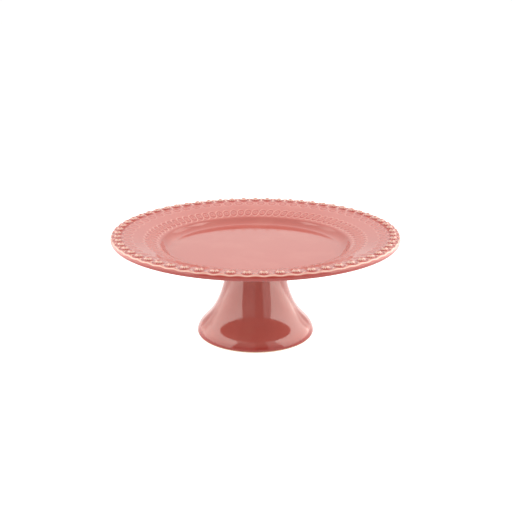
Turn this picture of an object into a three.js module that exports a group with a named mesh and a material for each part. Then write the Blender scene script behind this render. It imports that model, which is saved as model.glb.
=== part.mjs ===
// Footed cake stand in glazed stoneware: a pressed plate with a shallow well and embossed bands,
// a hollow flared pedestal, and the ring of slip that bonds the two.
// Millimetres, +Z up, with the origin on the table at the centre of the foot.

import * as THREE from 'three';

// ---- Driving dimensions ----

// Plate
const RIM_SHOULDER = new THREE.Vector2(168.5, 126.9);   // (radius, height) where the rim rolls over
const RIM_BOTTOM = new THREE.Vector2(168, 120.7);
const RIM_ROLL_DROP = 0.6;         // how far the roll leans down as it leaves the shoulder
const RIM_RADIUS = 170;
const FLOOR_TOP = 107;             // the flat that the cake rests on
const FLOOR_RADIUS = 100;
const FLOOR_THICKNESS = 6.5;
const WALL_FOOT_HANDLE = 5;        // how slowly the well's wall leaves its floor
const WALL_LIP_HANDLE = new THREE.Vector2(4, 5.5);
const UNDER_FOOT = 4;              // the wall's underside starts this far inside the floor's edge
const UNDER_LIP = 2;               // and ends this far outside the lip
const UNDER_LIP_HANDLE = new THREE.Vector2(3, 4);
const LIP_RADIUS = 112.5;          // where the well meets the flange
const LIP_TOP = 114.9;
const FLANGE_BEND_RADIUS = 130;    // the flange is steeper inside this radius than outside it
const FLANGE_BEND_TOP = 121.3;
const FLANGE_END_RADIUS = 156.5;   // where the flange meets the band of rosettes
const FLANGE_END_TOP = 126.2;
const FLANGE_THICKNESS = 5.6;

// Band of rosettes
const ROSETTES = 62;
const ROSETTE_CIRCLE = 162.3;      // radius of the circle through the rosettes' centres
const ROSETTE_HALF = 5.8;
const ROSETTE_INNER_RADIUS = 159;  // a ring of points on the inner slope of the rosettes
const ROSETTE_RISE = 4.1;
const RIDGE_RISE = 1.9;            // the ridge between two rosettes, at its outer end
const RIDGE_END_RADIUS = 166;
const PITCH_DRIFT = 0.0253;        // the rosettes stand a little wider apart on the -X side
const PITCH_START = 0.25;          // share of a pitch that the first rosette is turned back

// Pedestal
const PEDESTAL_TOP = 98.4;
const SWEEP_FOOT = new THREE.Vector2(71.3, -1.6);   // outside sweep, as (radius, height)
const SWEEP_FOOT_HANDLE = 22.9;
const SWEEP_NECK = new THREE.Vector2(37.7, 68);
const SWEEP_NECK_HANDLE = 53.1;
const SWEEP_NECK_SLOPE = 0.2;                       // radius lost per height at the top of the sweep
const NECK_HANDLE = 15;
const COLLAR_RADIUS = 41;
const COLLAR_HANDLE = 7.4;                          // the collar flares out at 45 degrees
const FOOT_RADIUS = 68.4;                           // the flat that stands on the table
const FOOT_INNER_RADIUS = 64.4;
const TOE = new THREE.Vector2(70, 0.8);             // rounds the foot into the sweep
const SWEEP_START = 0.07;                           // share of the sweep that lies below the toe
const INNER_SWEEP_START = 0.12;
const PEDESTAL_WALL = 5;

// Bond
const GAP = 0.3;                   // clearance between neighbouring solids
const BOND_INNER_RADIUS = 36.4;
const BOND_OVERHANG = 0.2;         // how far the bond stands out past the collar
const BOND_FILLET = 1.6;           // how far it spreads further under the plate

// Mesh fineness: the rosette band has four columns to a rosette, the rest of the plate fewer
const FINE = 4 * ROSETTES;
const MEDIUM = 2 * ROSETTES;
const COARSE = ROSETTES;
const LATHE_SEGMENTS = 60;

const flangeTop = new THREE.QuadraticBezierCurve(
  new THREE.Vector2(LIP_RADIUS, LIP_TOP),
  new THREE.Vector2(FLANGE_BEND_RADIUS, FLANGE_BEND_TOP),
  new THREE.Vector2(FLANGE_END_RADIUS, FLANGE_END_TOP),
);

// ---- Materials ----

function glazedClay(name) {
  return new THREE.MeshStandardMaterial({
    name,
    color: new THREE.Color(0.72, 0.3, 0.27),
    roughness: 0.15,
    metalness: 0,
  });
}

function bareSlip() {
  return new THREE.MeshStandardMaterial({
    name: 'luting_ring',
    color: new THREE.Color(0.66, 0.27, 0.24),
    roughness: 0.3,
    metalness: 0,
  });
}

// ---- Closed surface of rings round the Z axis ----

// A ring is {radius, height, count, relief}; relief is true where the rosettes shape it.
function ringPoints(ring) {
  const points = [];
  for (let i = 0; i < ring.count; i += 1) {
    const turns = i / ring.count;
    const even = 2 * Math.PI * (turns - PITCH_START / ROSETTES);
    const angle = even - PITCH_DRIFT * Math.sin(even);
    const rise = ring.relief ? rosetteRelief(ring.radius, turns) : 0;
    const x = ring.radius * Math.cos(angle);
    const y = ring.radius * Math.sin(angle);
    points.push(x, y, ring.height + rise);
  }
  return points;
}

// Joins two neighbouring rings, whose counts are equal or one is twice the other.
function bridge(faces, first, firstCount, second, secondCount) {
  const steps = Math.min(firstCount, secondCount);
  const firstStep = firstCount / steps;
  const secondStep = secondCount / steps;
  for (let i = 0; i < steps; i += 1) {
    const a = first + i * firstStep;
    const b = second + i * secondStep;
    const aNext = first + ((i + 1) * firstStep) % firstCount;
    const bNext = second + ((i + 1) * secondStep) % secondCount;
    if (firstStep === 2) {
      faces.push(a, b, a + 1, a + 1, b, bNext, a + 1, bNext, aNext);
    } else if (secondStep === 2) {
      faces.push(a, b, b + 1, a, b + 1, aNext, aNext, b + 1, bNext);
    } else {
      faces.push(a, b, bNext, a, bNext, aNext);
    }
  }
}

// Rings run outwards over the top and back inwards underneath, between two points on the axis.
function ringSolid(topHeight, rings, bottomHeight) {
  const positions = [0, 0, topHeight];
  const starts = [];
  for (const ring of rings) {
    starts.push(positions.length / 3);
    positions.push(...ringPoints(ring));
  }
  const bottom = positions.length / 3;
  positions.push(0, 0, bottomHeight);

  const faces = [];
  const firstCount = rings[0].count;
  for (let i = 0; i < firstCount; i += 1) {
    faces.push(0, starts[0] + i, starts[0] + ((i + 1) % firstCount));
  }
  for (let k = 0; k + 1 < rings.length; k += 1) {
    bridge(faces, starts[k], rings[k].count, starts[k + 1], rings[k + 1].count);
  }
  const last = rings.length - 1;
  const lastCount = rings[last].count;
  for (let i = 0; i < lastCount; i += 1) {
    faces.push(bottom, starts[last] + ((i + 1) % lastCount), starts[last] + i);
  }

  const geometry = new THREE.BufferGeometry();
  geometry.setAttribute('position', new THREE.Float32BufferAttribute(positions, 3));
  geometry.setIndex(faces);
  geometry.computeVertexNormals();
  return geometry;
}

// ---- Plate ----

// Height of the rosette band over its ground: a dome at each rosette, and between one rosette
// and the next a ridge that climbs outwards to the rim. turns runs from 0 to 1 round the plate,
// with a rosette at each whole step of 1 / ROSETTES.
function rosetteRelief(radius, turns) {
  const turn = Math.cos(2 * Math.PI * turns * ROSETTES);
  const across = Math.abs(radius - ROSETTE_CIRCLE) / ROSETTE_HALF;
  const dome = ROSETTE_RISE * Math.max(0, turn) * Math.max(0, 1 - across * across);
  const climb = (radius - FLANGE_END_RADIUS) / (RIDGE_END_RADIUS - FLANGE_END_RADIUS);
  const ridge = RIDGE_RISE * Math.max(0, -turn) * THREE.MathUtils.clamp(climb, 0, 1);
  return dome + ridge;
}

function ring(radius, height, count, relief = false) {
  return { radius, height, count, relief };
}

function flangeRing(along, count) {
  const point = flangeTop.getPoint(along);
  return ring(point.x, point.y, count);
}

function plateTopRings() {
  const wall = new THREE.CubicBezierCurve(
    new THREE.Vector2(FLOOR_RADIUS, FLOOR_TOP),
    new THREE.Vector2(FLOOR_RADIUS + WALL_FOOT_HANDLE, FLOOR_TOP),
    new THREE.Vector2(LIP_RADIUS - WALL_LIP_HANDLE.x, LIP_TOP - WALL_LIP_HANDLE.y),
    new THREE.Vector2(LIP_RADIUS, LIP_TOP),
  );
  const rings = [ring(FLOOR_RADIUS / 2, FLOOR_TOP, COARSE)];
  for (const point of wall.getPoints(4)) {
    rings.push(ring(point.x, point.y, COARSE));
  }
  for (const along of [0.2, 0.42]) {
    rings.push(flangeRing(along, COARSE));
  }
  for (const along of [0.65, 0.85]) {
    rings.push(flangeRing(along, MEDIUM));
  }
  rings.push(flangeRing(1, FINE));
  for (const radius of [ROSETTE_INNER_RADIUS, ROSETTE_CIRCLE, RIDGE_END_RADIUS]) {
    rings.push(ring(radius, FLANGE_END_TOP, FINE, true));
  }
  return rings;
}

// The rim rolls from its shoulder out to its full radius and back in underneath.
function rimRings() {
  // At its middle the curve takes three quarters of its handles' radius.
  const ends = (RIM_SHOULDER.x + RIM_BOTTOM.x) / 8;
  const handleRadius = (RIM_RADIUS - ends) / 0.75;
  const roll = new THREE.CubicBezierCurve(
    RIM_SHOULDER,
    new THREE.Vector2(handleRadius, RIM_SHOULDER.y - RIM_ROLL_DROP),
    new THREE.Vector2(handleRadius, RIM_BOTTOM.y),
    RIM_BOTTOM,
  );
  return roll.getPoints(4).map((point) => ring(point.x, point.y, MEDIUM));
}

function plateBottomRings() {
  const floorBottom = FLOOR_TOP - FLOOR_THICKNESS;
  const lipBottom = LIP_TOP - FLANGE_THICKNESS;
  const rings = [];
  for (const along of [1, 0.68, 0.36]) {
    const point = flangeTop.getPoint(along);
    rings.push(ring(point.x, point.y - FLANGE_THICKNESS, COARSE));
  }
  const wall = new THREE.CubicBezierCurve(
    new THREE.Vector2(LIP_RADIUS + UNDER_LIP, lipBottom),
    new THREE.Vector2(LIP_RADIUS - UNDER_LIP_HANDLE.x, lipBottom - UNDER_LIP_HANDLE.y),
    new THREE.Vector2(FLOOR_RADIUS + UNDER_FOOT, floorBottom),
    new THREE.Vector2(FLOOR_RADIUS - UNDER_FOOT, floorBottom),
  );
  for (const point of wall.getPoints(4)) {
    rings.push(ring(point.x, point.y, COARSE));
  }
  rings.push(ring(FLOOR_RADIUS / 2, floorBottom, COARSE));
  return rings;
}

function makePlate() {
  const rings = [...plateTopRings(), ...rimRings(), ...plateBottomRings()];
  const geometry = ringSolid(FLOOR_TOP, rings, FLOOR_TOP - FLOOR_THICKNESS);
  const plate = new THREE.Mesh(geometry, glazedClay('plate'));
  plate.name = 'plate';
  return plate;
}

// ---- Lathe-turned pieces ----

// profile is a list of (radius, height) that closes on itself; the lathe's own axis is Y.
function turned(profile) {
  const geometry = new THREE.LatheGeometry([...profile, profile[0]], LATHE_SEGMENTS);
  geometry.rotateX(Math.PI / 2);
  return geometry;
}

// ---- Pedestal ----

function sweepCurve() {
  return new THREE.CubicBezierCurve(
    SWEEP_FOOT,
    new THREE.Vector2(SWEEP_FOOT.x, SWEEP_FOOT.y + SWEEP_FOOT_HANDLE),
    new THREE.Vector2(
      SWEEP_NECK.x + SWEEP_NECK_SLOPE * SWEEP_NECK_HANDLE,
      SWEEP_NECK.y - SWEEP_NECK_HANDLE,
    ),
    SWEEP_NECK,
  );
}

function collarCurve() {
  return new THREE.CubicBezierCurve(
    SWEEP_NECK,
    new THREE.Vector2(SWEEP_NECK.x - SWEEP_NECK_SLOPE * NECK_HANDLE, SWEEP_NECK.y + NECK_HANDLE),
    new THREE.Vector2(COLLAR_RADIUS - COLLAR_HANDLE, PEDESTAL_TOP - COLLAR_HANDLE),
    new THREE.Vector2(COLLAR_RADIUS, PEDESTAL_TOP),
  );
}

// Points along a curve, each moved inwards from the surface by depth.
function insetPoints(curve, from, steps, depth) {
  const points = [];
  for (let i = 0; i <= steps; i += 1) {
    const along = from + ((1 - from) * i) / steps;
    const point = curve.getPoint(along);
    const tangent = curve.getTangent(along);
    points.push(new THREE.Vector2(point.x - tangent.y * depth, point.y + tangent.x * depth));
  }
  return points;
}

function makePedestal() {
  const sweep = sweepCurve();
  const collar = collarCurve();
  const outside = [
    new THREE.Vector2(FOOT_RADIUS, 0),
    TOE,
    ...insetPoints(sweep, SWEEP_START, 10, 0),
    ...insetPoints(collar, 0, 6, 0).slice(1),
  ];
  const inside = [
    new THREE.Vector2(FOOT_INNER_RADIUS, 0),
    ...insetPoints(sweep, INNER_SWEEP_START, 7, PEDESTAL_WALL),
    ...insetPoints(collar, 0, 5, PEDESTAL_WALL).slice(1, -1),
    new THREE.Vector2(COLLAR_RADIUS - PEDESTAL_WALL, PEDESTAL_TOP),
  ];
  const profile = [...outside, ...inside.reverse()];
  const pedestal = new THREE.Mesh(turned(profile), glazedClay('pedestal'));
  pedestal.name = 'pedestal';
  return pedestal;
}

// ---- Luting ring ----

function makeLutingRing() {
  const low = PEDESTAL_TOP + GAP;
  const high = FLOOR_TOP - FLOOR_THICKNESS - GAP;
  const edge = COLLAR_RADIUS + BOND_OVERHANG;
  const profile = [
    new THREE.Vector2(BOND_INNER_RADIUS, low),
    new THREE.Vector2(edge, low),
    new THREE.Vector2(edge + BOND_FILLET * 0.4, low + (high - low) * 0.6),
    new THREE.Vector2(edge + BOND_FILLET, high),
    new THREE.Vector2(BOND_INNER_RADIUS, high),
  ];
  const lutingRing = new THREE.Mesh(turned(profile), bareSlip());
  lutingRing.name = 'luting_ring';
  return lutingRing;
}

// ---- Assembly ----

const cakeStand = new THREE.Group();
cakeStand.add(makePlate(), makePedestal(), makeLutingRing());

export default cakeStand;
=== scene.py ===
"""Looks for the footed cake stand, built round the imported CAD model.

The plate, the pedestal and the slip ring between them are remade as fine meshes in the
places their CAD nodes hold. The embossed bands of the plate are real geometry.
"""

import math

import bpy
import numpy as np
from mathutils import Matrix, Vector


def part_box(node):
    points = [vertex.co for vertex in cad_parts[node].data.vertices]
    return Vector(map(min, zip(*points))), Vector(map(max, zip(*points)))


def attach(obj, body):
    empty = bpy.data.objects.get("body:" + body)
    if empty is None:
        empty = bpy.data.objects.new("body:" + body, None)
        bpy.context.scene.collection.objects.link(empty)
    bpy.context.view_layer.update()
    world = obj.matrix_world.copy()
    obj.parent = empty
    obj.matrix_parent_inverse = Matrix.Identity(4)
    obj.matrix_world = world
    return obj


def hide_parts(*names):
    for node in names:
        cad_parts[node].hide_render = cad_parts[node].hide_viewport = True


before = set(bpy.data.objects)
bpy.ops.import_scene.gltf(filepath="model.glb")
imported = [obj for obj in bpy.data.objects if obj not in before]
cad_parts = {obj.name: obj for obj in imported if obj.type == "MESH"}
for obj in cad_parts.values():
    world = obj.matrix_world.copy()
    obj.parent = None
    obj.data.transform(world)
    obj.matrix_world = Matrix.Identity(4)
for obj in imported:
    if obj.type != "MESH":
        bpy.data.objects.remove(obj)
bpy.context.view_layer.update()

MM = 0.001

# ---- Driving dimensions, in millimetres ----

PLATE_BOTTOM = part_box("plate")[0].z / MM
PEDESTAL_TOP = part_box("pedestal")[1].z / MM

# Plate, with places as (radius, height)
FLOOR_THICKNESS = 6.5
FLOOR_TOP = PLATE_BOTTOM + FLOOR_THICKNESS
FLOOR_RADIUS = 100
LIP_RADIUS, LIP_TOP = 112.5, 114.9
FLANGE_BEND = (130, 121.3)
BAND_START, BAND_START_TOP = 156.5, 126.2
FLANGE_LINE = [(LIP_RADIUS, LIP_TOP), FLANGE_BEND, (BAND_START, BAND_START_TOP)]
RIM_CREST_RADIUS = 167.2
RIM_CREST_TOP = 127.9            # between two rosettes
RIM_CREST_DIP = 127.0            # outside a rosette
RIM_SHOULDER = (168.9, 126.6)
RIM_BOTTOM = (168.0, 120.7)
RIM_HANDLE_RADIUS = 170.5
RIM_WAVE = (0.25, 0.36)          # how far the shoulder swells outwards and down at a rosette
FLANGE_THICKNESS = 5.6

# Band of rosettes: petalled domes in sunk cups
ROSETTES = 62
ROSETTE_CIRCLE = 161.5
ROSETTE_SQUEEZE = (0.90, 1.14)   # rosettes are wider round the plate than along its radius
ROSETTE_DRIFT = 0.0253           # the pitch varies slowly round the plate
ROSETTE_START = 0.25             # share of a pitch that the first rosette is turned by
CUP_GROUND = 126.6
CUP_CLIMB = 0.4                  # how far the ground of a cup rises towards the crest
CUP_WALL = (4.3, 7.8)            # the cup's wall lies between these reaches from the centre
PETALS = 12
PETAL_RADIUS = 5.1
PETAL_TOP = 129.2
PETAL_CREASE = 0.36              # share of the height lost in the crease between two petals
BUTTON_RADIUS = 3.2              # the dome at the middle of a rosette
BUTTON_TOP = 130.0
BUTTON_GROOVE = (0.35, 0.8)      # depth and half width of the groove round the button

# Row of eyelets: a faint ring-shaped groove inwards of each gap between two rosettes
EYELET_CIRCLE = 150.0
EYELET_RADIUS = 4.1
EYELET_DEPTH = 0.35
EYELET_WIDTH = 1.2
EYELET_LIP = 0.12                # height of the swelling round the groove
EYELET_BOSS = (0.2, 2.6)         # height and half width of the boss inside it

# Inner band: oval grooves round small bosses. Reaches are shares of a motif's half size.
RINGS = 80
RING_CIRCLE = 123.6
RING_HALF_LENGTH = 8.2
RING_DRIFT, RING_START = 0.038, 0.5
RING_LEAN = 0.22                 # how far a motif leans sideways at its outer end
RING_LIP = (0.1, 1.0, 0.22)      # height, reach and half width
RING_GROOVE = (0.3, 0.72, 0.24)
RING_BOSS = (0.22, 0.40, 0.26)
RING_HOOK = (0.22, 0.14, 0.16)

# Depth of glaze. Above 0 it pools and is deep in colour; below 0 it breaks thin. Some terms below
# also paint shade (deep) or highlights (cream) into the colour, as their comments say.
HOLLOW_POOL = 0.35               # per millimetre that a place lies below its neighbours
# deep colour in the cup: partly pooled glaze, partly painted shade on the cup's walls
CUP_POOL_AND_PAINTED_SHADE = 0.85
BUTTON_POOL = 0.55
CREASE_POOL = 0.12
PETAL_BREAK_AND_HIGHLIGHT = (0.08, 0.62)       # everywhere on the skirt, and more along each petal; the pale petal tops are partly thin glaze, partly painted highlight
RIDGE_BREAK = 0.35               # on the ridge between two cups
CREST_BREAK = 0.10
EYELET_POOL, EYELET_BREAK = 0.4, 0.04
RING_POOL = 0.32
RING_BREAK = (0.02, 0.11)        # all round a motif, and more on two opposite sides
RIM_BREAK = 0.37
LIP_POOL_AND_PAINTED_SHADE = (0.45, 0.3)           # below the rim's edge, and more near the bottom of the lip; partly pooled glaze, partly painted shade on the outer face that turns down from the light
# deep colour above the foot: partly pooled glaze, partly a painted dark reflection of the shaded
# floor
FOOT_POOL_AND_DARK_REFLECTION = 0.5
UNGLAZED = 2

COLLAR_RADIUS = 41


# ---- Curves and meshes ----

def bezier(points, steps, start=0.0):
    """Points of a Bezier curve of any degree, with the parameter running from start to 1."""
    t = np.linspace(start, 1, steps)[:, None]
    degree = len(points) - 1
    total = 0
    for i, point in enumerate(points):
        weight = math.comb(degree, i) * t**i * (1 - t) ** (degree - i)
        total = total + weight * np.array(point, float)
    return total


def smooth(low, high, x):
    """Eases from 0 at low to 1 at high."""
    t = np.clip((x - low) / (high - low), 0, 1)
    return t * t * (3 - 2 * t)


def bump(x, width):
    """A soft hump of height 1 and half width width about 0."""
    t = np.clip(np.abs(x) / width, 0, 1)
    return (1 - t * t) ** 2


def zip_rings(first, first_count, second, second_count):
    """Triangles that join two rings of vertices with different counts."""
    faces = []
    i = j = 0
    while i < first_count or j < second_count:
        first_is_behind = (i + 0.5) / first_count <= (j + 0.5) / second_count
        if j == second_count or (i < first_count and first_is_behind):
            faces.append((first + i, second + j % second_count, first + (i + 1) % first_count))
            i += 1
        else:
            faces.append((first + i % first_count, second + j, second + (j + 1) % second_count))
            j += 1
    return faces


def ring_mesh(name, rings, closed=False):
    """A mesh of rings round the Z axis. A ring is a pair of arrays (points, shade); a ring of
    one point closes an end. closed joins the last ring to the first."""
    points = np.concatenate([ring[0] for ring in rings])
    shades = np.concatenate([ring[1] for ring in rings])
    counts = [len(ring[0]) for ring in rings]
    starts = np.concatenate([[0], np.cumsum(counts)])[:-1]
    faces = []
    order = list(range(len(rings)))
    pairs = list(zip(order, order[1:])) + ([(order[-1], 0)] if closed else [])
    for a, b in pairs:
        if counts[a] == counts[b]:
            i = np.arange(counts[a])
            after = (i + 1) % counts[a]
            near, far = starts[a], starts[b]
            quads = np.stack([near + i, far + i, far + after, near + after], 1)
            faces.extend(quads.tolist())
        elif counts[a] == 1:
            i = np.arange(counts[b])
            after = (i + 1) % counts[b]
            fan = np.stack([np.full(len(i), starts[a]), starts[b] + i, starts[b] + after], 1)
            faces.extend(fan.tolist())
        elif counts[b] == 1:
            i = np.arange(counts[a])
            after = (i + 1) % counts[a]
            fan = np.stack([starts[a] + i, np.full(len(i), starts[b]), starts[a] + after], 1)
            faces.extend(fan.tolist())
        else:
            faces.extend(zip_rings(starts[a], counts[a], starts[b], counts[b]))
    mesh = bpy.data.meshes.new(name)
    mesh.from_pydata((points * MM).tolist(), [], faces)
    # the depth of glaze, with painted shade and highlights added in places
    shade = mesh.attributes.new("glaze_and_painted_light", "FLOAT", "POINT")
    shade.data.foreach_set("value", shades.astype(np.float32))
    mesh.polygons.foreach_set("use_smooth", np.ones(len(mesh.polygons), bool))
    mesh.update()
    piece = bpy.data.objects.new(name, mesh)
    bpy.context.scene.collection.objects.link(piece)
    return piece


def plain_ring(radius, height, count, shade=0.0):
    angle = 2 * np.pi * np.arange(count) / count
    points = np.stack([radius * np.cos(angle), radius * np.sin(angle), np.full(count, height)], 1)
    return points, np.full(count, shade)


# ---- Relief of the plate's top, as heights over radius and angle ----

flange_curve = bezier(FLANGE_LINE, 200)
well_curve = bezier(
    [(FLOOR_RADIUS, FLOOR_TOP), (FLOOR_RADIUS + 5, FLOOR_TOP), (LIP_RADIUS - 4, LIP_TOP - 5.5),
     (LIP_RADIUS, LIP_TOP)], 60)


def flange_height(radius, angle):
    """The plain flange and the climb from it to the rim's crest, which dips at each rosette."""
    level = np.interp(radius, flange_curve[:, 0], flange_curve[:, 1])
    phase = pattern_offset(angle, ROSETTES, ROSETTE_DRIFT, ROSETTE_START) * ROSETTES
    crest = RIM_CREST_DIP + (RIM_CREST_TOP - RIM_CREST_DIP) * (0.5 - 0.5 * np.cos(phase)) ** 1.5
    return level + (crest - BAND_START_TOP) * smooth(BAND_START, RIM_CREST_RADIUS, radius)


def pattern_offset(angle, count, drift, start):
    """How far, in radians, an angle lies from the nearest of count evenly stamped motifs."""
    turns = (angle + drift * np.sin(angle)) * count / (2 * np.pi) + start
    return (turns - np.round(turns)) * 2 * np.pi / count


def rosette_place(radius, angle):
    """Distance from the nearest rosette's centre, and the direction from it."""
    offset = pattern_offset(angle, ROSETTES, ROSETTE_DRIFT, ROSETTE_START)
    across = offset * ROSETTE_CIRCLE * ROSETTE_SQUEEZE[0]
    along = (radius - ROSETTE_CIRCLE) * ROSETTE_SQUEEZE[1]
    return np.hypot(across, along), np.arctan2(across, along)


def petal_wave(turn):
    """1 along the middle of each petal and 0 in the creases, over the direction from the centre."""
    return 0.5 + 0.5 * np.cos(turn * PETALS)


def rosette_band(radius, angle, height):
    """Sinks a cup for each rosette into the rim and sets a petalled dome in it."""
    reach, turn = rosette_place(radius, angle)
    inside = 1 - smooth(*CUP_WALL, reach)
    ground = CUP_GROUND + CUP_CLIMB * smooth(ROSETTE_CIRCLE, RIM_CREST_RADIUS, radius)
    height = height + (ground - height) * inside
    petal = petal_wave(turn)
    share = np.clip(reach / PETAL_RADIUS, 0, 1)
    skirt = (PETAL_TOP - CUP_GROUND) * (1 - share**4) ** 0.85
    skirt = skirt * (1 - PETAL_CREASE * (1 - petal) * smooth(0.5, 0.85, share))
    share = np.clip(reach / BUTTON_RADIUS, 0, 1)
    button = (BUTTON_TOP - PETAL_TOP) * (1 - share**2) ** 0.7
    depth, width = BUTTON_GROOVE
    return height + skirt + button - depth * bump(reach - BUTTON_RADIUS, width)


def rosette_glaze_and_painted_light(radius, angle):
    """Depth of glaze: deep in the cup and on the button, thin over the petals and the ridges. The
    deep cup is partly painted shade, and the pale petals are partly painted highlight.
    """
    reach, turn = rosette_place(radius, angle)
    petal = petal_wave(turn)
    inner = 3.4 + petal
    outer = 5.3 + 1.8 * np.abs(np.cos(turn))
    # the dark crescent round each rosette: partly pooled glaze, partly painted shade
    shade = CUP_POOL_AND_PAINTED_SHADE * (smooth(inner, inner + 0.8, reach) - smooth(outer, outer + 1, reach))
    shade = shade + BUTTON_POOL * bump(reach, 2.7)
    shade = shade + CREASE_POOL * (1 - petal) * bump(reach - 3.9, 1.3)
    skirt = bump(reach - 2.73 - 0.85 * petal, 1.5)
    # pale petal tops: partly thin glaze, partly painted highlight
    shade = shade - skirt * (PETAL_BREAK_AND_HIGHLIGHT[0] + PETAL_BREAK_AND_HIGHLIGHT[1] * petal)
    shade = shade - RIDGE_BREAK * bump(reach - 7.5, 1.0) * smooth(157, 162, radius)
    return shade - CREST_BREAK * smooth(167.2, 168.4, radius)


def eyelet_row(radius, angle, height):
    """Presses a ring-shaped groove into the flange, inwards of each gap between two rosettes."""
    offset = pattern_offset(angle, ROSETTES, ROSETTE_DRIFT, ROSETTE_START + 0.5)
    reach = np.hypot(offset * EYELET_CIRCLE, radius - EYELET_CIRCLE)
    height = height - EYELET_DEPTH * bump(reach - EYELET_RADIUS, EYELET_WIDTH)
    height = height + EYELET_LIP * bump(reach - EYELET_RADIUS - 1.9, EYELET_WIDTH)
    rise, width = EYELET_BOSS
    return height + rise * bump(reach, width)


def ring_place(radius, angle):
    """Place within the nearest motif of the inner band, in shares of its half size."""
    offset = pattern_offset(angle, RINGS, RING_DRIFT, RING_START)
    along = (radius - RING_CIRCLE) / RING_HALF_LENGTH
    across = offset * RINGS / np.pi + RING_LEAN * along
    return across, along


def round_profile(reach, shape):
    """A soft ring-shaped swelling, given its height, its reach and its half width."""
    rise, middle, width = shape
    return rise * bump(reach - middle, width)


def ring_band(radius, angle, height):
    """Presses a row of oval grooves round small bosses into the inner part of the flange."""
    across, along = ring_place(radius, angle)
    reach = np.hypot(across, along)
    hook_reach = np.hypot(across - 0.12, along + 0.1)
    height = height + round_profile(reach, RING_LIP) - round_profile(reach, RING_GROOVE)
    return height + round_profile(reach, RING_BOSS) - round_profile(hook_reach, RING_HOOK)


def band_glaze(radius, angle):
    """Depth of glaze in the grooves of the eyelets and of the inner band."""
    offset = pattern_offset(angle, ROSETTES, ROSETTE_DRIFT, ROSETTE_START + 0.5)
    across = offset * EYELET_CIRCLE
    reach = np.hypot(across, radius - EYELET_CIRCLE)
    ends = 0.4 + 0.6 * np.abs(across) / (reach + 0.1)
    shade = EYELET_POOL * ends * bump(reach - EYELET_RADIUS, EYELET_WIDTH)
    shade = shade - EYELET_BREAK * bump(reach - EYELET_RADIUS - 2, 1.3)
    across, along = ring_place(radius, angle)
    reach = np.hypot(across, along)
    ends = 0.2 + 0.8 * np.abs(along) / (reach + 0.01)
    shade = shade + RING_POOL * ends * bump(reach - RING_GROOVE[1], RING_GROOVE[2])
    lean = 0.5 + 0.5 * np.cos(2 * (np.arctan2(across, along) - 0.8))
    return shade - (RING_BREAK[0] + RING_BREAK[1] * lean) * bump(reach - RING_LIP[1], 0.2)


def top_height(radius, angle):
    height = flange_height(radius, angle)
    height = rosette_band(radius, angle, height)
    height = eyelet_row(radius, angle, height)
    return ring_band(radius, angle, height)


def glaze_depth_and_painted_light(radius, angle, reach=0.9):
    """Where the glaze pools (above 0) in hollows, and breaks thin (below 0) on edges, plus the
    painted shade and highlights of the rosettes.
    """
    here = top_height(radius, angle)
    turn = reach / radius
    around = top_height(radius + reach, angle) + top_height(radius - reach, angle)
    around = around + top_height(radius, angle + turn) + top_height(radius, angle - turn)
    hollow = around / 4 - here
    return HOLLOW_POOL * hollow + rosette_glaze_and_painted_light(radius, angle) + band_glaze(radius, angle)


def relief_ring(radius, count):
    angle = 2 * np.pi * np.arange(count) / count
    radii = np.full(count, float(radius))
    points = np.stack([radii * np.cos(angle), radii * np.sin(angle), top_height(radii, angle)], 1)
    return points, glaze_depth_and_painted_light(radii, angle)


def rim_ring(share, point, count):
    """One ring of the rim's roll. Its upper edge dips and swells at each rosette. Lower down, its
    colour is deepened by pooled glaze and partly by painted shade.
    """
    angle = 2 * np.pi * np.arange(count) / count
    offset = pattern_offset(angle, ROSETTES, ROSETTE_DRIFT, ROSETTE_START) * ROSETTES
    wave = np.cos(offset) * (1 - smooth(0.0, 0.55, share))
    radii = point[0] + RIM_WAVE[0] * wave
    heights = point[1] - RIM_WAVE[1] * wave
    points = np.stack([radii * np.cos(angle), radii * np.sin(angle), heights], 1)
    # deep colour on the lip's outer face: partly pooled glaze, partly painted shade
    shade = LIP_POOL_AND_PAINTED_SHADE[0] * smooth(0.12, 0.3, share) + LIP_POOL_AND_PAINTED_SHADE[1] * smooth(0.5, 0.85, share)
    shade = shade - RIM_BREAK * (1 - smooth(0.02, 0.18, share))
    return points, np.full(count, shade)


def make_plate():
    fine, middle, coarse = ROSETTES * 32, ROSETTES * 12, ROSETTES * 4
    rings = [plain_ring(0, FLOOR_TOP, 1)]
    rings += [plain_ring(radius, FLOOR_TOP, coarse) for radius in (20, 45, 70, 88, 96)]
    rings += [plain_ring(r, z, coarse) for r, z in well_curve[::4][:-1]]
    rings += [relief_ring(r, RINGS * 12) for r in np.linspace(LIP_RADIUS, 133, 28)]
    rings += [relief_ring(r, coarse) for r in np.linspace(134, 143, 4)]
    rings += [relief_ring(r, middle) for r in np.linspace(144, 155, 13)]
    rings += [relief_ring(r, fine) for r in np.linspace(155.7, 168.2, 20)]
    handle = RIM_HANDLE_RADIUS
    roll = bezier([RIM_SHOULDER, (handle, 126.0), (handle, RIM_BOTTOM[1]), RIM_BOTTOM], 9)
    rings += [rim_ring(i / 8, point, middle) for i, point in enumerate(roll)]
    under = bezier(FLANGE_LINE, 24)[::-1]
    rings += [plain_ring(r, z - FLANGE_THICKNESS, coarse) for r, z in under[:-1]]
    under_lip = LIP_TOP - FLANGE_THICKNESS
    wall = bezier(
        [(LIP_RADIUS + 1, under_lip), (LIP_RADIUS - 3, under_lip - 4),
         (FLOOR_RADIUS + 4, PLATE_BOTTOM), (FLOOR_RADIUS - 4, PLATE_BOTTOM)], 14)
    rings += [plain_ring(r, z, coarse) for r, z in wall]
    rings += [plain_ring(radius, PLATE_BOTTOM, coarse) for radius in (80, 60, 40, 20)]
    rings.append(plain_ring(0, PLATE_BOTTOM, 1))
    return ring_mesh("stand_plate", rings)


# ---- Pedestal and slip ring ----

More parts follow.
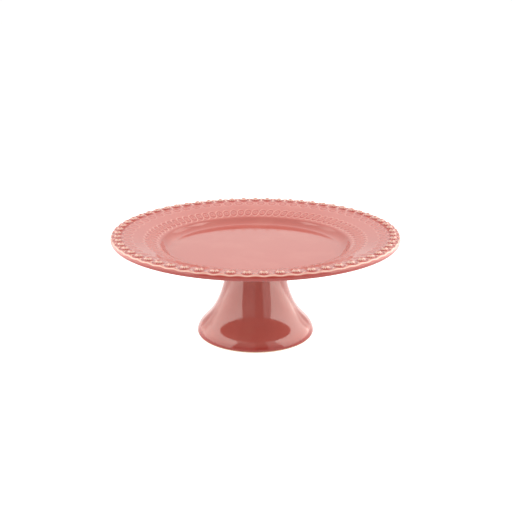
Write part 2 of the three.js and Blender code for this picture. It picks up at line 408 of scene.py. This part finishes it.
SWEEP = [(71.3, -1.6), (71.3, 21.3), (48.3, 14.9), (37.7, 68)]
COLLAR = [
    (37.7, 68), (34.7, 83), (COLLAR_RADIUS - 7.4, PEDESTAL_TOP - 7.4), (COLLAR_RADIUS, PEDESTAL_TOP)]
FOOT_OUTER, FOOT_INNER = 68.4, 64.4
WALL = 5
SWEEP_START = 0.07           # share of the sweep that the toe replaces
INSIDE_START = 4             # height where the inside wall meets the heel
FOOT_BARE = 1.3              # the glaze is wiped off below this height
FOOT_POOL_AND_REFLECTION_RANGE = (1.5, 11)  # and its pool, with the painted dark reflection, thins out between these heights
BOND_INNER_RADIUS = 36.2
PEDESTAL_SEGMENTS, BOND_SEGMENTS = 240, 180


def inset(curve, depth):
    """The curve moved inwards by depth, square to itself."""
    tangent = np.gradient(curve, axis=0)
    tangent = tangent / np.linalg.norm(tangent, axis=1)[:, None]
    return curve + depth * np.stack([-tangent[:, 1], tangent[:, 0]], 1)


def foot_glaze_and_painted_reflection(height):
    """The glaze runs down and pools above the foot, which is wiped bare (UNGLAZED) to stand on. The
    deep colour above the foot is partly pooled glaze, partly a painted dark reflection of the shaded
    floor.
    """
    if height < FOOT_BARE:
        return UNGLAZED
    # pooled glaze with a painted dark reflection of the shaded floor
    return FOOT_POOL_AND_DARK_REFLECTION * float(1 - smooth(*FOOT_POOL_AND_REFLECTION_RANGE, height))


def make_pedestal():
    sweep = bezier(SWEEP, 60, start=SWEEP_START)
    collar = bezier(COLLAR, 24)
    outside = np.concatenate([sweep, collar[1:]])
    inside = inset(outside, WALL)
    inside = inside[(inside[:, 1] > INSIDE_START) & (inside[:, 1] < PEDESTAL_TOP - 0.5)]
    toe = bezier([(FOOT_OUTER, 0), (FOOT_OUTER + 1.9, 0.05), tuple(sweep[0])], 7)[:-1]
    heel = bezier([tuple(inside[0]), (inside[0][0] + 0.2, 1.2), (FOOT_INNER, 0)], 6)[1:]
    top = [(COLLAR_RADIUS - WALL, PEDESTAL_TOP)]
    profile = np.concatenate([toe, outside, top, inside[::-1], heel])
    rings = [plain_ring(r, z, PEDESTAL_SEGMENTS, foot_glaze_and_painted_reflection(z)) for r, z in profile[::-1]]
    return ring_mesh("stand_pedestal", rings, closed=True)


def make_luting_ring():
    low, high = PEDESTAL_TOP, PLATE_BOTTOM
    fillet = bezier(
        [(COLLAR_RADIUS - 1.2, low - 1.3), (COLLAR_RADIUS + 0.4, high - 0.5),
         (COLLAR_RADIUS + 3.2, high)], 9)
    seat = [(BOND_INNER_RADIUS, low), (COLLAR_RADIUS - 2, low)]
    profile = np.concatenate([seat, fillet, [(BOND_INNER_RADIUS, high)]])
    rings = [plain_ring(r, z, BOND_SEGMENTS) for r, z in profile[::-1]]
    return ring_mesh("stand_luting_ring", rings, closed=True)


# ---- Materials ----

# DEEP is pooled glaze and also the painted shade; CREAM is thin glaze and also the painted
# highlights
DEEP = (0.235, 0.026, 0.020)
BODY = (0.278, 0.061, 0.049)
THIN = (0.42, 0.19, 0.15)
CREAM = (0.40, 0.30, 0.255)
BISCUIT = (0.55, 0.40, 0.27)
GLAZE_RANGE = 0.45               # the colours run over depths of glaze, with the painted shade and highlights, from minus this to this
GLAZE_IOR = 1.52
GLAZE_ROUGHNESS = (0.05, 0.12)
BARE_ROUGHNESS = 0.75
MOTTLE = 0.014                   # slow drift of the depth of glaze
WAVE_DEPTH, PEEL_DEPTH = 0.03, 0.004
DRIFT_SCALE, PATCH_SCALE, WAVE_SCALE, PEEL_SCALE = 26, 60, 30, 420   # of the noises


def new_material(name):
    material = bpy.data.materials.new(name)
    material.use_nodes = True
    nodes = material.node_tree.nodes
    return material, nodes, material.node_tree.links, nodes["Principled BSDF"]


def ramp(nodes, stops):
    node = nodes.new("ShaderNodeValToRGB")
    elements = node.color_ramp.elements
    for element, (position, colour) in zip(elements, (stops[0], stops[-1])):
        element.position = position
        element.color = (*colour, 1)
    for position, colour in stops[1:-1]:
        elements.new(position).color = (*colour, 1)
    return node


def noise(nodes, links, place, scale, detail=2.0):
    node = nodes.new("ShaderNodeTexNoise")
    node.inputs["Scale"].default_value = scale
    node.inputs["Detail"].default_value = detail
    links.new(place.outputs["Object"], node.inputs["Vector"])
    return node


def rescale(nodes, links, source, low, high, from_low=0.0, from_high=1.0):
    node = nodes.new("ShaderNodeMapRange")
    node.inputs["From Min"].default_value = from_low
    node.inputs["From Max"].default_value = from_high
    node.inputs["To Min"].default_value = low
    node.inputs["To Max"].default_value = high
    links.new(source, node.inputs["Value"])
    return node


def bump_node(nodes, links, source, depth, before=None):
    node = nodes.new("ShaderNodeBump")
    node.inputs["Distance"].default_value = depth * MM
    links.new(source, node.inputs["Height"])
    if before:
        links.new(before.outputs["Normal"], node.inputs["Normal"])
    return node


def glaze_material(name):
    """Coral glaze: deep red where it pools, cream where it breaks thin, bare clay at the foot.
    Painted shade takes the deep red and painted highlights take the cream.
    """
    material, nodes, links, shader = new_material(name)
    shader.inputs["IOR"].default_value = GLAZE_IOR
    place = nodes.new("ShaderNodeTexCoord")
    # reads the depth of glaze together with the painted shade and highlights
    glaze_and_painted_light = nodes.new("ShaderNodeAttribute")
    glaze_and_painted_light.attribute_name = "glaze_and_painted_light"

    drift = noise(nodes, links, place, DRIFT_SCALE, 4)
    mottle = rescale(nodes, links, drift.outputs["Fac"], -MOTTLE, MOTTLE, 0.3, 0.7)
    depth = nodes.new("ShaderNodeMath")
    links.new(glaze_and_painted_light.outputs["Fac"], depth.inputs[0])
    links.new(mottle.outputs["Result"], depth.inputs[1])
    scale = rescale(nodes, links, depth.outputs["Value"], 0, 1, -GLAZE_RANGE, GLAZE_RANGE)
    colours = ramp(nodes, [(0.0, CREAM), (0.32, THIN), (0.5, BODY), (0.85, DEEP)])
    links.new(scale.outputs["Result"], colours.inputs["Fac"])

    bare = rescale(nodes, links, glaze_and_painted_light.outputs["Fac"], 0, 1, 1.0, 1.2)
    mix = nodes.new("ShaderNodeMix")
    mix.data_type = "RGBA"
    mix.inputs["B"].default_value = (*BISCUIT, 1)
    links.new(bare.outputs["Result"], mix.inputs["Factor"])
    links.new(colours.outputs["Color"], mix.inputs["A"])
    links.new(mix.outputs["Result"], shader.inputs["Base Color"])

    patch = noise(nodes, links, place, PATCH_SCALE, 3)
    gloss = rescale(nodes, links, patch.outputs["Fac"], *GLAZE_ROUGHNESS, 0.3, 0.7)
    rough = nodes.new("ShaderNodeMix")
    rough.inputs["B"].default_value = BARE_ROUGHNESS
    links.new(bare.outputs["Result"], rough.inputs["Factor"])
    links.new(gloss.outputs["Result"], rough.inputs["A"])
    links.new(rough.outputs["Result"], shader.inputs["Roughness"])

    waves = noise(nodes, links, place, WAVE_SCALE, 1)
    peel = noise(nodes, links, place, PEEL_SCALE, 1)
    wavy = bump_node(nodes, links, waves.outputs["Fac"], WAVE_DEPTH)
    fine = bump_node(nodes, links, peel.outputs["Fac"], PEEL_DEPTH, wavy)
    links.new(fine.outputs["Normal"], shader.inputs["Normal"])
    return material


# ---- Stage: floor, lights and camera ----

BACKDROP, CEILING = 1.06, 1.75             # strength of the surroundings, level and overhead
BACKDROP_EDGE, CEILING_EDGE = 0.15, 0.60   # sines of the elevations that one fades between
BACKDROP_COLOUR = (1, 0.985, 0.955)
SOFTBOX_COLOUR = (1, 0.96, 0.88)
FLOOR_HALF = 60
FLOOR_GREY, FLOOR_GLOW = 0.45, 0.75

CAMERA_PLACE = (0, -0.879229, 0.365358)
CAMERA_TILT = math.pi / 2 - 0.298   # looks down by 0.298 radians
CAMERA_LENS = 53.95
CAMERA_SHIFT = 0.0011

# Softboxes beside the stand: centre in metres, width, height, radiance, lean in degrees
SOFTBOXES = {
    "left_softbox": ((-0.80, -0.23, 0.5), 1.36, 1.3, 2.7, 17),
    "left_fill": ((-0.80, 0.65, 0.5), 0.4, 1.2, 1.1, 0),
    "right_softbox": ((0.82, -0.10, 0.5), 1.26, 1.3, 3.3, 17),
    "right_fill": ((0.82, 0.75, 0.5), 0.45, 1.2, 1.5, 0),
}

# Dim cards behind the camera: left, right, place along Y, top, grey
CARDS = {
    "front_card": (-1.45, 0.6, -1.6, 1.7, 0.33),
    "right_card": (0.6, 2.2, -1.6, 1.7, 0.80),
    "camera_card": (0.0, 0.7, -1.55, 1.7, 0.10),
}


def make_floor():
    mesh = bpy.data.meshes.new("floor")
    half = FLOOR_HALF
    corners = [(-half, -half, 0), (half, -half, 0), (half, half, 0), (-half, half, 0)]
    mesh.from_pydata(corners, [], [(0, 1, 2, 3)])
    floor = bpy.data.objects.new("floor", mesh)
    bpy.context.scene.collection.objects.link(floor)
    material, nodes, links, shader = new_material("floor")
    shader.inputs["Base Color"].default_value = (FLOOR_GREY, FLOOR_GREY, FLOOR_GREY, 1)
    shader.inputs["Emission Color"].default_value = (1, 1, 1, 1)
    shader.inputs["Emission Strength"].default_value = FLOOR_GLOW
    shader.inputs["Roughness"].default_value = 0.7
    floor.data.materials.append(material)


def make_card(name, left, right, near, high, grey):
    """A dim card behind the camera, for the glaze to reflect."""
    mesh = bpy.data.meshes.new(name)
    corners = [(left, near, 0.02), (right, near, 0.02), (right, near, high), (left, near, high)]
    mesh.from_pydata(corners, [], [(0, 1, 2, 3)])
    card = bpy.data.objects.new(name, mesh)
    bpy.context.scene.collection.objects.link(card)
    material, nodes, links, shader = new_material(name)
    shader.inputs["Base Color"].default_value = (grey, grey, grey, 1)
    shader.inputs["Roughness"].default_value = 0.8
    card.data.materials.append(material)
    card.visible_camera = False


def area_light(name, place, width, height, radiance, lean):
    """A softbox facing across the stand. lean tips its top towards the camera, in degrees."""
    light = bpy.data.lights.new(name, "AREA")
    light.shape = "RECTANGLE"
    light.size = width
    light.size_y = height
    light.color = SOFTBOX_COLOUR
    light.energy = radiance * math.pi * width * height
    lamp = bpy.data.objects.new(name, light)
    bpy.context.scene.collection.objects.link(lamp)
    facing = math.pi / 2 if place[0] > 0 else -math.pi / 2
    lamp.matrix_world = (
        Matrix.Translation(place)
        @ Matrix.Rotation(math.radians(lean), 4, "X")
        @ Matrix.Rotation(facing, 4, "Z")
        @ Matrix.Rotation(math.pi / 2, 4, "X")
    )


def make_world():
    world = bpy.data.worlds.new("studio")
    bpy.context.scene.world = world
    world.use_nodes = True
    nodes = world.node_tree.nodes
    links = world.node_tree.links
    background = nodes["Background"]
    background.inputs["Color"].default_value = (*BACKDROP_COLOUR, 1)
    place = nodes.new("ShaderNodeTexCoord")
    split = nodes.new("ShaderNodeSeparateXYZ")
    links.new(place.outputs["Generated"], split.inputs["Vector"])
    fade = nodes.new("ShaderNodeMapRange")
    fade.interpolation_type = "SMOOTHSTEP"
    fade.inputs["From Min"].default_value = BACKDROP_EDGE
    fade.inputs["From Max"].default_value = CEILING_EDGE
    fade.inputs["To Min"].default_value = BACKDROP
    fade.inputs["To Max"].default_value = CEILING
    links.new(split.outputs["Z"], fade.inputs["Value"])
    links.new(fade.outputs["Result"], background.inputs["Strength"])


def make_camera():
    data = bpy.data.cameras.new("camera")
    data.sensor_width = 36
    data.lens = CAMERA_LENS
    data.shift_x = CAMERA_SHIFT
    camera = bpy.data.objects.new("camera", data)
    bpy.context.scene.collection.objects.link(camera)
    camera.location = CAMERA_PLACE
    camera.rotation_euler = (CAMERA_TILT, 0, 0)
    bpy.context.scene.camera = camera


make_camera()
plate = make_plate()
pedestal = make_pedestal()
luting_ring = make_luting_ring()

for piece, node, slot in (
    (plate, "plate", "plate_glaze"),
    (pedestal, "pedestal", "pedestal_glaze"),
    (luting_ring, "luting_ring", "bond_glaze"),
):
    piece.data.materials.append(glaze_material(slot))
    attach(piece, "root")
    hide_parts(node)

make_floor()
make_world()
for name, (place, width, height, radiance, lean) in SOFTBOXES.items():
    area_light(name, place, width, height, radiance, lean)
for name, (left, right, near, high, grey) in CARDS.items():
    make_card(name, left, right, near, high, grey)
bpy.context.scene.view_settings.view_transform = "Standard"
